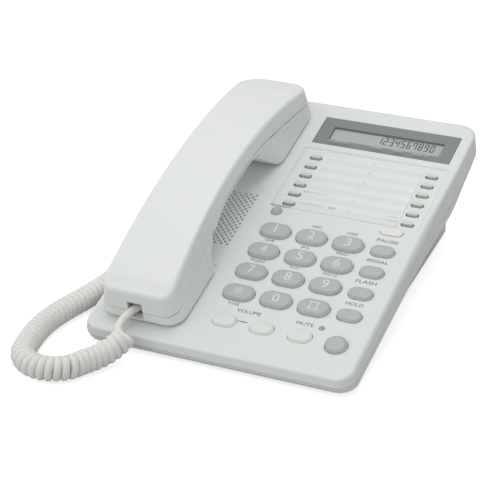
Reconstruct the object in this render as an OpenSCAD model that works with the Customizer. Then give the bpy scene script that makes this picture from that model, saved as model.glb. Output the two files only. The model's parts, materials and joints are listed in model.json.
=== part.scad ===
// Corded desk telephone: a tilted base with keypad, display and cradle, a handset and its curly cord.
// Everything on the base is drawn on its top face: x across, y up the face from the front edge and
// z out of the face. place() then tilts it onto the table. Sizes are millimetres and degrees.

/* [Casing] */
// Width of the casing
case_w = 160; // [158:1:170]
// Length of the casing up its top face
case_l = 224; // [223:1:232]
// Wall of both casing halves
case_wall = 2.2; // [2:0.1:2.4]
// Tilt of the top face above the table
tilt = 16; // [12:0.5:18]
// Depth of the casing at its front edge
front_h = 9.8; // [9.6:0.1:11]
// Depth of the casing at its belly, under the keypad
belly_h = 13.8; // [13.5:0.1:15]
// Depth of the casing at its keel, the deepest line
keel_h = 20.5; // [19:0.5:23]
// Depth of the casing at its rear edge
rear_h = 11.2; // [11:0.1:12]
// Distance of the belly line from the front edge
belly_y = 100; // [90:1:110]
// Distance of the keel line from the front edge
keel_y = 166; // [160:1:172]
// Radius of the casing's corners, seen from above
corner_r = 13; // [10:0.5:16]
// Radius of the casing's top edges
edge_r = 4; // [3:0.5:5]
// How far the side walls lean in at keel depth
side_lean = 2.5; // [1:0.5:3]
// How far the front and rear walls lean in
end_lean = 2.5; // [1:0.5:3]
// Depth of the seam between the casing halves at the front
seam_front = 5.3; // [4.6:0.1:6]
// Depth of the seam at the keel
seam_keel = 14.2; // [13:0.1:15]

/* [Keypad] */
// Distance of the middle dial column from the casing's right side
dial_inset = 62; // [60:0.5:64]
// Distance of the second dial row from the front edge
dial_y = 84; // [83:0.5:86]
// Column pitch of the dial keys
key_pitch_x = 21.5; // [21:0.1:22]
// Row pitch of the dial keys
key_pitch_y = 17.5; // [16:0.1:18]
// Width of a dial key
key_w = 17.8; // [16:0.1:18]
// Height of a dial key, up the face
key_h = 11.3; // [10:0.1:12]
// How far a dial key stands out of the face
key_rise = 2; // [1.5:0.1:3]
// Travel of the dial and function keys
key_travel = 1.2; // [0.8:0.1:1.3]
// Travel of the small memory and program buttons
small_travel = 1; // [0.6:0.1:1.1]
// Width of a function button
function_w = 13.5; // [12:0.1:15]
// Height of a function button, up the face
function_h = 8.5; // [8:0.1:10]
// Distance of the function column from the middle dial column
function_dx = 41.6; // [40:0.1:42]
// Width of a volume or mute button
volume_w = 13.3; // [12:0.1:15]
// Height of a volume or mute button, up the face
volume_h = 9; // [8:0.1:10]
// Distance of the volume row from the front edge
volume_y = 27.6; // [27:0.1:29]
// Diameter of the loudspeaker button
speaker_button_d = 11.8; // [10:0.1:13]
// Diameter of the dished recess round the loudspeaker button
dish_d = 15.6; // [14:0.1:17]
// Diameter of the program button
program_d = 5.8; // [5:0.1:6.5]
// Width of a memory button
memory_w = 7; // [6:0.1:8]
// Height of a memory button, up the face
memory_h = 3; // [2.6:0.1:3.6]
// Row pitch of the memory buttons
memory_pitch = 8.6; // [8.2:0.1:9]

/* [Display and card] */
// Width of the display bezel
bezel_w = 84.4; // [80:0.1:88]
// Height of the display bezel, up the face
bezel_h = 25.3; // [24:0.1:27]
// Thickness of the display bezel
bezel_t = 1.6; // [1.2:0.1:2]
// Distance from the bezel's middle to the casing's rear edge
bezel_from_rear = 27.8; // [27:0.1:29]
// Width of the display window
window_w = 68.2; // [64:0.1:70]
// Height of the display window
window_h = 12.3; // [11:0.1:14]
// Width of the card field
card_field_w = 88; // [86:0.5:90]
// Length of the card field, up the face
card_field_h = 56; // [54:0.5:57]
// Depth of the card field
card_field_t = 0.8; // [0.6:0.1:0.9]
// Width of the index card
card_w = 60; // [56:0.5:61]
// Thickness of the index card
card_t = 0.3; // [0.2:0.05:0.35]
// Diameter of the holes of the loudspeaker grille
grille_hole_d = 1.5; // [1.2:0.1:1.8]
// Pitch of the loudspeaker grille
grille_pitch = 3.65; // [3.4:0.05:3.8]
// Diameter of the loudspeaker
loudspeaker_d = 50; // [45:1:54]
// Depth of the loudspeaker
loudspeaker_h = 8.5; // [7:0.5:9]

/* [Handset] */
// Width of the handset at its foot
handset_w = 49; // [47:0.5:50]
// Length of the handset along the base
handset_l = 204.7; // [201:0.1:207]
// Distance from the handset's front end to the casing's front edge
handset_y = 13.3; // [12:0.1:14]
// Distance from the handset's middle to the casing's left side
handset_inset = 33.5; // [32.5:0.5:34.5]
// How far the handset's sides lean in, for each millimetre of height
handset_lean = 0.17; // [0.1:0.01:0.2]
// Height of the handset's crown above the face
crown_h = 35.6; // [35:0.1:38]
// Radius of the handset's arched back
back_r = 307.5; // [300:2.5:330]
// Height of the parting line between the handset's shells, at the crown
parting_h = 26.5; // [26.3:0.1:27]
// Height of the finger gap under the grip
grip_gap = 24.3; // [23:0.1:24.4]
// Wall of the handset shells
handset_wall = 1.8; // [1.6:0.1:1.9]
// Radius of the handset's upright corners
handset_corner_r = 8; // [7:0.5:9]
// Travel of the hook plunger
hook_travel = 3; // [2:0.1:3]

/* [Cord] */
// Diameter of the cord's wire
wire_d = 3; // [2.8:0.05:3.1]
// Outer diameter of the curls
coil_d = 13.2; // [12.6:0.1:13.4]
// Number of curls
curls = 46; // [40:1:48]

/* [Stand] */
// Width of the desk stand at its rear
stand_w = 123; // [115:1:125]
// Length of the desk stand on the table
stand_l = 112; // [105:1:115]
// Wall of the desk stand
stand_wall = 2.4; // [2:0.1:3]
// Height of the rubber feet
foot_h = 1.2; // [0.8:0.1:2]
// Diameter of the rubber feet
foot_d = 11; // [9:0.5:13]
// Spacing of the keyholes for hanging the phone on two wall screws
keyhole_spacing = 83; // [80:0.5:84]
// Diameter of the round part of a keyhole
keyhole_d = 9; // [8.5:0.1:10]
// Width of the slot of a keyhole
keyhole_slot = 4.4; // [4:0.1:4.6]

/* [Hidden] */
$fn = 48;
eps = 0.01;
fit = 0.3;
slide_fit = 0.35;
flange_t = 0.7;
flange_rim = 1;

// Colours
case_white = [0.87, 0.88, 0.86];
handset_white = [0.89, 0.90, 0.88];
key_grey = [0.70, 0.73, 0.73];
bezel_grey = [0.55, 0.57, 0.58];
cord_white = [0.90, 0.90, 0.87];

// Outline of the casing, seen from the right: y against z
front_foot = [end_lean, -front_h];
rear_foot = [case_l - end_lean, -rear_h];
belly = [belly_y, -belly_h];
keel = [keel_y, -keel_h];
function arc(cy, cz, r, from, to, steps) =
    [for (i = [0:steps]) let (a = from + (to - from) * i / steps) [cy + r * cos(a), cz + r * sin(a)]];
function side_outline(t) = concat(
    [front_foot + [t, t]],
    arc(edge_r, -edge_r, edge_r - t, 180, 90, 6),
    arc(case_l - edge_r, -edge_r, edge_r - t, 90, 0, 6),
    [rear_foot + [-t, t], keel + [0, t], belly + [0, t]]
);

// How the tilted casing stands on the table, and where its middle is
function height_of(p) = p[0] * sin(tilt) + p[1] * cos(tilt);
function depth_of(p) = p[0] * cos(tilt) - p[1] * sin(tilt);
lift = foot_h - min([for (p = side_outline(0)) height_of(p)]);
depths = [for (p = side_outline(0)) depth_of(p)];
mid_depth = (min(depths) + max(depths)) / 2;
function on_table(p) = [
    p[0],
    p[1] * cos(tilt) - p[2] * sin(tilt) - mid_depth,
    p[1] * sin(tilt) + p[2] * cos(tilt) + lift
];

// The line from point a to point b at y
function line_at(a, b, y) = a[1] + (b[1] - a[1]) * (y - a[0]) / (b[0] - a[0]);
function underside(y) = y < belly_y ? line_at(front_foot, belly, y)
    : y < keel_y ? line_at(belly, keel, y) : line_at(keel, rear_foot, y);

// Places on the face
dial_x = case_w / 2 - dial_inset;
function_x = dial_x + function_dx;
bezel_x = dial_x + 10.6;
bezel_y = case_l - bezel_from_rear;
window_shift = [0.3, -1.4];
field_gap = 4.8;
field_x = dial_x + 10.4;
field_y = bezel_y - bezel_h / 2 - field_gap - card_field_h / 2;
card_x = dial_x + 11.4;
first_row_drop = 8.3;
memory_top_y = field_y + card_field_h / 2 - first_row_drop;
memory_dx = 35.4;
program_at = [dial_x - 27.7, dial_y + 34.1];
lamp_at = [dial_x + 40.8, dial_y + 34];
lamp_size = [13, 5.6];
lamp_rise = 0.6;
led_at = [dial_x + 30.9, dial_y - 47.5];
led_d = 3;
led_rise = 0.2;
volume_pitch = 21.4;
volume_dx = 0.6;
function_dy = -0.3;
speaker_button_at = [dial_x + 42.5, volume_y - 1];

// Depths below the face
flange_top = -case_wall - fit;
flange_bottom = flange_top - flange_t;
card_floor = -card_field_t;
small_flange_top = card_floor - case_wall - fit;
small_flange_bottom = small_flange_top - flange_t;
membrane_top = -6.1;
membrane_t = 0.5;
board_top = membrane_top - membrane_t;
board_t = 1.2;
collar_top = flange_bottom - key_travel - fit;
small_collar_top = small_flange_bottom - small_travel - fit;
stem_bottom = membrane_top + key_travel + fit;
small_stem_bottom = membrane_top + small_travel + fit - 0.1;
stem_d = 4;
small_stem_d = 2;
collar_wall = 0.8;
board_left = dial_x - 34;
board_right = case_w / 2 - 12.2;
board_front = 21;
board_rear = bezel_y - bezel_h / 2 - 2;

// Buttons: name, place, size, rise and kind
function dial_at(i) = [dial_x + (i % 3 - 1) * key_pitch_x, dial_y + (1 - floor(i / 3)) * key_pitch_y];
dial_names = ["1", "2", "3", "4", "5", "6", "7", "8", "9", "star", "0", "hash"];
function_names = ["pause", "redial", "flash", "hold"];
volume_names = ["volume_down", "volume_up", "mute"];
function function_at(i) = [function_x, dial_y + (1 - i) * key_pitch_y + function_dy];
function volume_at(i) = [dial_x + volume_dx + (i - 1) * volume_pitch, volume_y];
function memory_at(i) = [card_x + (i < 6 ? -1 : 1) * memory_dx, memory_top_y - (i % 6) * memory_pitch];
dial_size = [key_w, key_h];
function_size = [function_w, function_h];
volume_size = [volume_w, volume_h];
memory_size = [memory_w, memory_h];
function_rise = 1.6;
volume_rise = 1.1;
speaker_rise = 1.6;
program_rise = 1.8;
memory_rise = 1.4;

// Screws and posts
post_x = case_w / 2 - 8;
post_ys = [62, 122, 184];
screw_places = [for (x = [-post_x, post_x], y = post_ys) [x, y]];
post_d = 6.4;
screw_d = 2.6;
screw_head_d = 5;
screw_head_h = 1.8;
thread_fit = 0.05;
boss_depth = 3;
boss_d = post_d + 1.6;
function screw_seat(y) = underside(y) + screw_head_h + 0.6;

// Cradle wells
well_depth = 3;
well_size = [36, 33];
mouth_well_y = handset_y + 26.5;
ear_well_y = handset_y + handset_l - 32;
well_r = 8;
hook_y = ear_well_y - 8;
hook_size = [10, 6];

// Handset
handset_end = handset_y + handset_l;
handset_x = -case_w / 2 + handset_inset;
crown_y = handset_y + 95.7;
rear_bulge_r = 6;
handset_foot = fit;
pad_size = [well_size[0] - 2 * fit, well_size[1] - 2 * fit];
pad_bottom = -well_depth + fit;
pad_wall = 2;
receiver_t = 9;
microphone_d = 9.7;
microphone_t = 5;
ballast = [24, 50, 4];
ballast_z = grip_gap + handset_wall + 0.5;
socket = [8.1, 11, 6.6];
plug = [7.65, 11, 6];
jack_wall = 1.2;
handset_socket_x = handset_x - 1;
handset_socket_y = handset_y + 4.6;
handset_socket_z = handset_foot + handset_wall + socket[2] / 2 + jack_wall + 0.4;
handset_port = [8.6, 10];
base_socket_y = 168;
base_socket_z = -10;
base_port = [8.6, 7.4];
line_x = 36;
line_port = [9.9, 6.3];
line_z = -6.2;
line_jack_l = 12.5;

// Parting line of the handset: distance from its front end, and depth below the line's crown
parting_line = [
    [-15, 23.7], [0, 19.9], [15, 16.1], [23, 14.1], [31, 12.6], [39, 11.4], [47, 10], [54, 8.2],
    [60, 6.1], [66, 3.9], [73, 2.1], [81, 0.9], [90, 0.3], [100, 0], [112, 0.3], [119, 0.9],
    [126, 1.6], [134, 2.8], [142, 4.4], [150, 6.4], [162, 9.3], [174, 12.3], [183, 14.4],
    [191, 16.4], [199, 18.9], [220, 24.8]
];

// Cord: route of the curls' axis on the table, in table coordinates, by hand
coil_route = [
    [-46, -113, 14], [-47.8, -117.5, 11.4], [-50.8, -122, 8.9], [-54.8, -127.5, 7.3],
    [-59.3, -134.2, 6.9], [-63.2, -141.6, 6.9], [-70.1, -146.5, 6.9], [-78.4, -147.7, 6.9],
    [-86.3, -145.1, 6.9], [-92.2, -139.1, 6.9], [-94.7, -131.7, 6.9], [-96.6, -122.5, 6.9],
    [-98, -112, 6.9], [-98, -101, 6.9], [-96.4, -89, 6.9], [-93.6, -77, 6.9], [-90.8, -64.5, 6.9],
    [-88.8, -51, 6.9], [-88, -36, 6.9], [-88, -19, 6.9], [-88, -1, 6.9], [-88, 17, 6.9], [-88, 34, 6.9]
];
coil_r = (coil_d - wire_d) / 2;
curl_rings = 8;
wire_sides = 6;
tail_sides = 8;
smooth_steps = 6;
handset_tail_route = [[-47.5, -103, 20], [-50, -107.5, 20], [-52, -112, 18.8]];
base_tail_route = [
    [-96, 36, 13.5], [-99.5, 40, 18], [-100.5, 45, 26], [-99, 50, 35], [-95, 53.5, 42], [-89.5, 55, 45.5]
];

// Places everything drawn on the face onto the table
module place() {
    translate([0, -mid_depth, lift]) rotate([tilt, 0, 0]) children();
}

module at(p, z = 0) {
    translate([p[0], p[1], z]) children();
}

// Rounded oblong, outlined by straight sides and half circles
module stadium(size, grow = 0) {
    w = size[0] + 2 * grow;
    h = size[1] + 2 * grow;
    square([w - h, h], center = true);
    for (s = [-1, 1]) translate([s * (w - h) / 2, 0]) circle(d = h);
}

module rounded(size, r) {
    square([size[0] - 2 * r, size[1]], center = true);
    square([size[0], size[1] - 2 * r], center = true);
    for (sx = [-1, 1], sy = [-1, 1]) translate([sx * (size[0] / 2 - r), sy * (size[1] / 2 - r)]) circle(r);
}

// A flat shape drawn as y against z, stretched across the phone from x0 to x1
module across(x0, x1) {
    translate([x0, 0, 0]) rotate([90, 0, 90]) linear_extrude(x1 - x0) children();
}

module slab(z0, z1) {
    translate([0, 0, z0]) linear_extrude(z1 - z0) children();
}

// ---- Casing ----
module front_view(t) {
    half = case_w / 2 - t;
    lean = side_lean * (keel_h + 2) / keel_h;
    polygon(concat(
        arc(-half - t + edge_r, -edge_r, edge_r - t, 180, 90, 6),
        arc(half + t - edge_r, -edge_r, edge_r - t, 90, 0, 6),
        [[half - lean, -keel_h - 2], [-half + lean, -keel_h - 2]]
    ));
}

module casing(t = 0) {
    intersection() {
        across(-case_w, case_w) polygon(side_outline(t));
        translate([0, case_l + 1, 0]) rotate([90, 0, 0]) linear_extrude(case_l + 2) front_view(t);
        translate([0, case_l / 2, 0]) slab(-keel_h - 3, 1)
            rounded([case_w - 2 * t, case_l - 2 * t], corner_r - t);
    }
}

module seam_half(low) {
    edge = low ? -keel_h - 5 : 5;
    across(-case_w, case_w) polygon([
        [-5, edge], [-5, -seam_front], [keel_y, -seam_keel],
        [case_l + 5, -seam_keel], [case_l + 5, edge]
    ]);
}

module button_hole(p, size, depth) {
    at(p) slab(-depth - 1, 1) stadium(size, slide_fit);
}

module round_hole(p, d, depth) {
    at(p, -depth - 1) cylinder(d = d, h = depth + 2);
}

grille_rows = 13;
grille_cols = 12;
grille_right = handset_x + 20.5;
grille_front = dial_y + 0.6;
module grille() {
    for (half = [0, 1], c = [0:grille_cols - 1 - half], r = [0:grille_rows - 1 - half])
        round_hole(
            [grille_right - (c + half / 2) * grille_pitch, grille_front + (r + half / 2) * grille_pitch],
            grille_hole_d, case_wall
        );
}

module port(x, y, z, size, along) {
    translate([x, y, z]) cube(
        along == "x" ? [20, size[0], size[1]] : [size[0], 20, size[1]], center = true
    );
}

module face_cuts() {
    small_depth = card_field_t + case_wall;
    for (i = [0:11]) button_hole(dial_at(i), dial_size, case_wall);
    for (i = [0:3]) button_hole(function_at(i), function_size, case_wall);
    for (i = [0:2]) button_hole(volume_at(i), volume_size, case_wall);
    for (i = [0:11]) button_hole(memory_at(i), memory_size, small_depth);
    round_hole(speaker_button_at, speaker_button_d + 2 * slide_fit, case_wall);
    round_hole(program_at, program_d + 2 * slide_fit, case_wall);
    round_hole(led_at, led_d + fit, case_wall);
    button_hole(lamp_at, lamp_size - [fit, fit], case_wall);
    dish_r = 40;
    at(speaker_button_at, sqrt(dish_r * dish_r - dish_d * dish_d / 4)) sphere(dish_r, $fn = 96);
    at([field_x, field_y]) slab(card_floor, 1) rounded([card_field_w, card_field_h], 1.5);
    at([bezel_x, bezel_y]) slab(-bezel_t, 1) square([bezel_w + fit, bezel_h + fit], center = true);
    at([bezel_x, bezel_y]) slab(-case_wall - 1, 1) square([bezel_w - 3, bezel_h - 3], center = true);
    at([handset_x, mouth_well_y]) slab(-well_depth, 1) rounded(well_size, well_r);
    at([handset_x, ear_well_y]) slab(-well_depth, 1) rounded(well_size, well_r);
    at([handset_x, hook_y]) slab(-well_depth - case_wall - 1, 1) stadium(hook_size, slide_fit);
    grille();
}

module upper_case() {
    color(case_white) place() difference() {
        union() {
            difference() {
                casing();
                casing(case_wall);
            }
            intersection() {
                casing();
                union() {
                    at([field_x, field_y]) slab(card_floor - case_wall, -1)
                        square([card_field_w + 1, card_field_h + 1], center = true);
                    for (y = [mouth_well_y, ear_well_y]) at([handset_x, y])
                        slab(-well_depth - case_wall, -1)
                        rounded(well_size + [1, 1] * 2 * case_wall, well_r + case_wall);
                    for (p = screw_places) at(p, screw_seat(p[1]) + boss_depth)
                        cylinder(d = post_d, h = -1 - screw_seat(p[1]) - boss_depth);
                }
            }
        }
        seam_half(true);
        face_cuts();
        for (p = screw_places) at(p, screw_seat(p[1]) - 1)
            cylinder(d = screw_d + 2 * thread_fit, h = -case_wall - screw_seat(p[1]));
        port(-case_w / 2, base_socket_y, base_socket_z, base_port, "x");
        port(line_x, case_l, line_z, line_port, "y");
    }
}

// Bosses that carry the board, seen from above
board_posts = [
    [board_left + 5, board_front + 5], [board_right - 5, board_front + 13],
    [board_left + 5, 110], [board_right - 5, 110],
    [board_left + 5, board_rear - 5], [board_right - 5, board_rear - 5]
];
module lower_case() {
    color(case_white) place() difference() {
        union() {
            intersection() {
                difference() {
                    casing();
                    casing(case_wall);
                }
                seam_half(true);
            }
            intersection() {
                casing();
                union() {
                    for (p = board_posts) at(p, -keel_h) cylinder(d = 6, h = keel_h + board_top - board_t);
                    for (p = screw_places)
                        at(p, -keel_h) cylinder(d = boss_d, h = keel_h + screw_seat(p[1]) + boss_depth);
                }
            }
        }
        for (p = screw_places) at(p, -keel_h - 1) {
            cylinder(d = screw_d + fit, h = keel_h);
            cylinder(d = screw_head_d + fit, h = keel_h + 1 + screw_seat(p[1]));
        }
    }
}

module case_screws() {
    color("silver") place() for (p = screw_places) at(p) {
        seat = screw_seat(p[1]);
        translate([0, 0, seat - screw_head_h]) difference() {
            cylinder(d = screw_head_d, h = screw_head_h);
            for (a = [0, 90]) rotate(a) translate([-1.5, -0.35, -1]) cube([3, 0.7, 1.8]);
        }
        translate([0, 0, seat]) cylinder(d = screw_d, h = -case_wall - 1.5 - seat);
    }
}

// ---- Stand and feet ----
stand_rear = depth_of(rear_foot) - mid_depth - 5.5;
stand_front = stand_rear - stand_l;
stand_flare = 5;
module stand_block(t) {
    intersection() {
        translate([0, 0, foot_h + t]) linear_extrude(keel_h + lift + 60) polygon([
            [-stand_w / 2 - stand_flare + t, stand_front + t],
            [stand_w / 2 + stand_flare - t, stand_front + t],
            [stand_w / 2 - t, stand_rear - t], [-stand_w / 2 + t, stand_rear - t]
        ]);
        place() across(-case_w, case_w) polygon([
            front_foot, belly, keel, rear_foot, [case_l, -150], [0, -150]
        ]);
    }
}

module keyhole(y) {
    translate([0, y, foot_h - 1]) {
        cylinder(d = keyhole_d, h = stand_wall + 2);
        translate([-keyhole_slot / 2, 0, 0]) cube([keyhole_slot, 9, stand_wall + 2]);
        translate([0, 9, 0]) cylinder(d = keyhole_slot, h = stand_wall + 2);
    }
}

stand_mid = (stand_front + stand_rear) / 2;
module desk_stand() {
    color(case_white) difference() {
        stand_block(0);
        difference() {
            translate([0, 0, eps]) stand_block(stand_wall);
            for (x = [-30, 30]) translate([x - 1, stand_front, 0]) cube([2, stand_l, 200]);
        }
        for (s = [-1, 1]) keyhole(stand_mid + s * keyhole_spacing / 2);
    }
}

front_foot_x = case_w / 2 - 17;
rear_foot_x = stand_w / 2 - 10;
module rubber_feet() {
    color([0.35, 0.35, 0.36]) {
        difference() {
            for (s = [-1, 1]) translate([s * front_foot_x, depth_of([14, underside(14)]) - mid_depth, 0])
                cylinder(d = foot_d, h = 12);
            place() across(-case_w, case_w)
                polygon([front_foot, belly, [belly_y, 60], [-20, 60], [-20, -front_h]]);
        }
        for (s = [-1, 1]) translate([s * rear_foot_x, stand_rear - 10, 0]) cylinder(d = foot_d, h = foot_h);
    }
}

// ---- Display, card and lamps ----
module display_bezel() {
    color(bezel_grey) place() at([bezel_x, bezel_y]) difference() {
        slab(-bezel_t, 0) square([bezel_w, bezel_h], center = true);
        at(window_shift) slab(-bezel_t - 1, 1) square([window_w, window_h], center = true);
    }
}

module lcd_panel() {
    color([0.74, 0.78, 0.77]) place() at([bezel_x, bezel_y - 1]) slab(-bezel_t - 2.8, -bezel_t)
        square([window_w + 8, window_h + 6], center = true);
}

card_h = memory_pitch * 5 + 7;
module memory_card() {
    color([0.93, 0.94, 0.96]) place() at([card_x, memory_top_y - 2.5 * memory_pitch])
        slab(card_floor, card_floor + card_t) square([card_w, card_h], center = true);
}

module card_cover() {
    color([0.9, 0.95, 0.95, 0.3]) place() at([card_x, memory_top_y - 2.5 * memory_pitch])
        slab(card_floor + card_t, 0) square([card_w, card_h], center = true);
}

module indicator_lenses() {
    color([0.93, 0.92, 0.85]) place() {
        at(lamp_at) {
            slab(-case_wall, lamp_rise) stadium(lamp_size);
            slab(-case_wall - 1, -case_wall) stadium(lamp_size, 0.8);
        }
        at(led_at) {
            slab(-case_wall, led_rise) circle(d = led_d);
            slab(-case_wall - 0.8, -case_wall) circle(d = led_d + 1.5);
        }
    }
}

// ---- Inside the base ----
speaker_y = grille_front + grille_pitch * (grille_rows - 1) / 2;
module loudspeaker() {
    r = loudspeaker_d / 2;
    h = loudspeaker_h;
    color([0.3, 0.3, 0.32]) place() at([handset_x, speaker_y], -case_wall) rotate_extrude() polygon([
        [0, -4], [6, -4], [r - 5, -1.2], [r - 3, 0], [r, 0], [r, -1.5], [r - 3, -1.5],
        [12, 4 - h], [12, -h], [0, -h]
    ]);
}

module main_board() {
    color([0.2, 0.42, 0.28]) place() translate([board_left, board_front, board_top - board_t])
        cube([board_right - board_left, board_rear - board_front, board_t]);
}

module collar(p, d, top) {
    at(p, membrane_top) difference() {
        cylinder(d = d + 2 * (fit + collar_wall), h = top - membrane_top);
        translate([0, 0, -eps]) cylinder(d = d + 2 * fit, h = top - membrane_top + 1);
    }
}

module keypad_membrane() {
    color([0.75, 0.76, 0.78]) place() union() {
        translate([board_left + 0.5, board_front + 0.5, board_top])
            cube([board_right - board_left - 1, board_rear - board_front - 1, membrane_t]);
        for (i = [0:11]) collar(dial_at(i), stem_d, collar_top);
        for (i = [0:3]) collar(function_at(i), stem_d, collar_top);
        for (i = [0:2]) collar(volume_at(i), stem_d, collar_top);
        collar(speaker_button_at, stem_d, collar_top);
        collar(program_at, small_stem_d, collar_top);
        for (i = [0:11]) collar(memory_at(i), small_stem_d, small_collar_top);
    }
}

module hook_plunger() {
    top = -well_depth;
    color(case_white) place() at([handset_x, hook_y]) {
        slab(top - case_wall - hook_travel - fit, top) stadium(hook_size);
        slab(top - case_wall - hook_travel - fit - 1, top - case_wall - hook_travel - fit)
            stadium(hook_size, 1.2);
    }
}

module line_jack() {
    color([0.25, 0.25, 0.27]) place() difference() {
        intersection() {
            translate([line_x - 6.5, case_l - case_wall - line_jack_l, -15]) cube([13, line_jack_l, 15]);
            casing(case_wall);
        }
        translate([line_x, case_l - case_wall - line_jack_l + 1.5, line_z])
            translate([-line_port[0] / 2, 0, -line_port[1] / 2])
            cube([line_port[0], line_jack_l, line_port[1]]);
    }
}

module socket_block(reach) {
    translate([-socket[0] / 2 - jack_wall, -reach, -socket[2] / 2 - jack_wall])
        cube([socket[0] + 2 * jack_wall, socket[1] + 2 + reach, socket[2] + 2 * jack_wall]);
}

module socket_bore() {
    translate([-socket[0] / 2, -10, -socket[2] / 2]) cube([socket[0], socket[1] + 10, socket[2]]);
}

module plug_body() {
    translate([-plug[0] / 2, 0, -plug[2] / 2]) cube([plug[0], plug[1], plug[2]]);
}

base_socket_x = -case_w / 2 + side_lean + case_wall;
module in_base_socket() {
    translate([base_socket_x, base_socket_y, base_socket_z]) rotate(-90) children();
}

module base_handset_jack() {
    color([0.25, 0.25, 0.27]) place() difference() {
        intersection() {
            in_base_socket() socket_block(5);
            casing(case_wall);
        }
        in_base_socket() socket_bore();
    }
}

module base_plug() {
    color([0.85, 0.87, 0.86, 0.6]) place() in_base_socket() plug_body();
}

// ---- Buttons ----
module button(p, size, rise, colour, small = false) {
    top = small ? small_flange_top : flange_top;
    stem = small ? small_stem_bottom : stem_bottom;
    round_top = 0.5;
    color(colour) place() at(p) {
        slab(top - eps, rise - round_top) stadium(size);
        slab(rise - round_top - eps, rise) stadium(size, -round_top);
        slab(top - flange_t, top) stadium(size, small ? 0.8 : flange_rim);
        translate([0, 0, stem]) cylinder(d = small ? small_stem_d : stem_d, h = top - flange_t - stem + eps);
    }
}

module round_button(p, d, rise, stem_end, stem, colour) {
    color(colour) place() at(p) {
        translate([0, 0, flange_bottom]) cylinder(d = d + 2 * flange_rim, h = flange_t);
        translate([0, 0, flange_top - eps]) cylinder(d = d, h = rise - 0.5 - flange_top + eps);
        translate([0, 0, rise - 0.5 - eps]) cylinder(d = d - 1, h = 0.5 + eps);
        translate([0, 0, stem_end]) cylinder(d = stem, h = flange_bottom - stem_end + eps);
    }
}

// ---- Handset ----
// A block whose side wall leans in on one side of the handset and whose upright corners are rounded
module handset_half(side, t) {
    width = 100;
    reach = handset_w / 2 * cos(atan(handset_lean)) - t;
    translate([handset_x, handset_y + handset_l / 2, 0]) rotate([0, -side * atan(handset_lean), 0])
        translate([side * (reach - width / 2), 0, -30]) linear_extrude(100)
        rounded([width, handset_l - 2 * t], handset_corner_r - t);
}

// Outline of the handset seen from the right: its foot, and the slope over its rear end
function end_outline(t) = concat(
    [[handset_y - 5, handset_foot + t], [handset_y - 5, 60], [handset_end - 40 - t, 60]],
    arc(handset_end - rear_bulge_r, 9, rear_bulge_r - t, 42, 10, 3),
    [[handset_end + 5, handset_foot + t]]
);

// The finger gap's outline: front wall, neck, arch, rear corner and slope
function gap_outline(t) = concat(
    [[handset_y + 47 - t, -8]],
    arc(handset_y + 79.2, grip_gap - 41.3, 40 + t, 137, 99, 8),
    arc(crown_y + 4, grip_gap - 190, 190 + t, 97.5, 84.5, 6),
    arc(handset_end - 87, grip_gap - 8.7, 7.6 + t, 80, 45, 5),
    [[handset_end - 52 + 1.4 * t, -8]]
);

module handset_body(t) {
    difference() {
        intersection() {
            handset_half(-1, t);
            handset_half(1, t);
            across(handset_x - handset_w, handset_x + handset_w) polygon(end_outline(t));
            across(handset_x - handset_w, handset_x + handset_w)
                translate([crown_y, crown_h - back_r]) circle(back_r - t, $fn = 360);
        }
        across(handset_x - handset_w, handset_x + handset_w) polygon(gap_outline(t));
    }
}

module parting_block(low) {
    edge = low ? -10 : 70;
    across(handset_x - handset_w, handset_x + handset_w) polygon(concat(
        [[handset_y - 20, edge]],
        [for (p = parting_line) [handset_y + p[0], parting_h - p[1]]],
        [[handset_end + 20, edge]]
    ));
}

module handset_port_cut() {
    port(handset_socket_x, handset_y, handset_port[1] / 2 + 2.8, handset_port, "y");
}

module handset_outer_shell() {
    color(handset_white) place() difference() {
        intersection() {
            difference() {
                handset_body(0);
                handset_body(handset_wall);
            }
            parting_block(false);
        }
        handset_port_cut();
    }
}

sound_holes = [[0, 0], [4.5, 0], [-4.5, 0], [2.25, 3.9], [-2.25, 3.9], [2.25, -3.9], [-2.25, -3.9]];
module handset_inner_shell() {
    color(handset_white) place() difference() {
        union() {
            intersection() {
                difference() {
                    handset_body(0);
                    handset_body(handset_wall);
                }
                parting_block(true);
            }
            for (y = [mouth_well_y, ear_well_y]) at([handset_x, y])
                slab(pad_bottom, handset_foot + handset_wall) rounded(pad_size, well_r - fit);
            at([handset_x, crown_y]) slab(grip_gap, ballast_z)
                square([ballast[0] - 4, ballast[1] - 10], center = true);
        }
        for (y = [mouth_well_y, ear_well_y]) at([handset_x, y]) slab(pad_bottom + pad_wall, handset_foot + 5)
            rounded(pad_size - [1, 1] * 2 * pad_wall, well_r - fit - pad_wall);
        for (p = sound_holes)
            at([handset_x + p[0], ear_well_y + p[1]], pad_bottom - 1) cylinder(d = 1.8, h = pad_wall + 2);
        at([handset_x, mouth_well_y], pad_bottom - 1) cylinder(d = 2.2, h = pad_wall + 2);
        handset_port_cut();
    }
}

module handset_receiver() {
    color([0.3, 0.3, 0.32]) place() at([handset_x, ear_well_y], pad_bottom + pad_wall) {
        cylinder(d = pad_size[1] - 2 * pad_wall - 1, h = receiver_t - 3);
        cylinder(d = 18, h = receiver_t);
    }
}

module handset_microphone() {
    color([0.6, 0.6, 0.6]) place() at([handset_x, mouth_well_y], pad_bottom + pad_wall)
        cylinder(d = microphone_d, h = microphone_t);
}

module handset_ballast() {
    color([0.5, 0.5, 0.52]) place() at([handset_x, crown_y], ballast_z)
        linear_extrude(ballast[2]) square([ballast[0], ballast[1]], center = true);
}

module in_handset_socket() {
    translate([handset_socket_x, handset_socket_y, handset_socket_z]) children();
}

module handset_jack() {
    color([0.25, 0.25, 0.27]) place() in_handset_socket() difference() {
        socket_block(0);
        socket_bore();
    }
}

module handset_plug() {
    color([0.85, 0.87, 0.86, 0.6]) place() in_handset_socket() plug_body();
}

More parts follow.
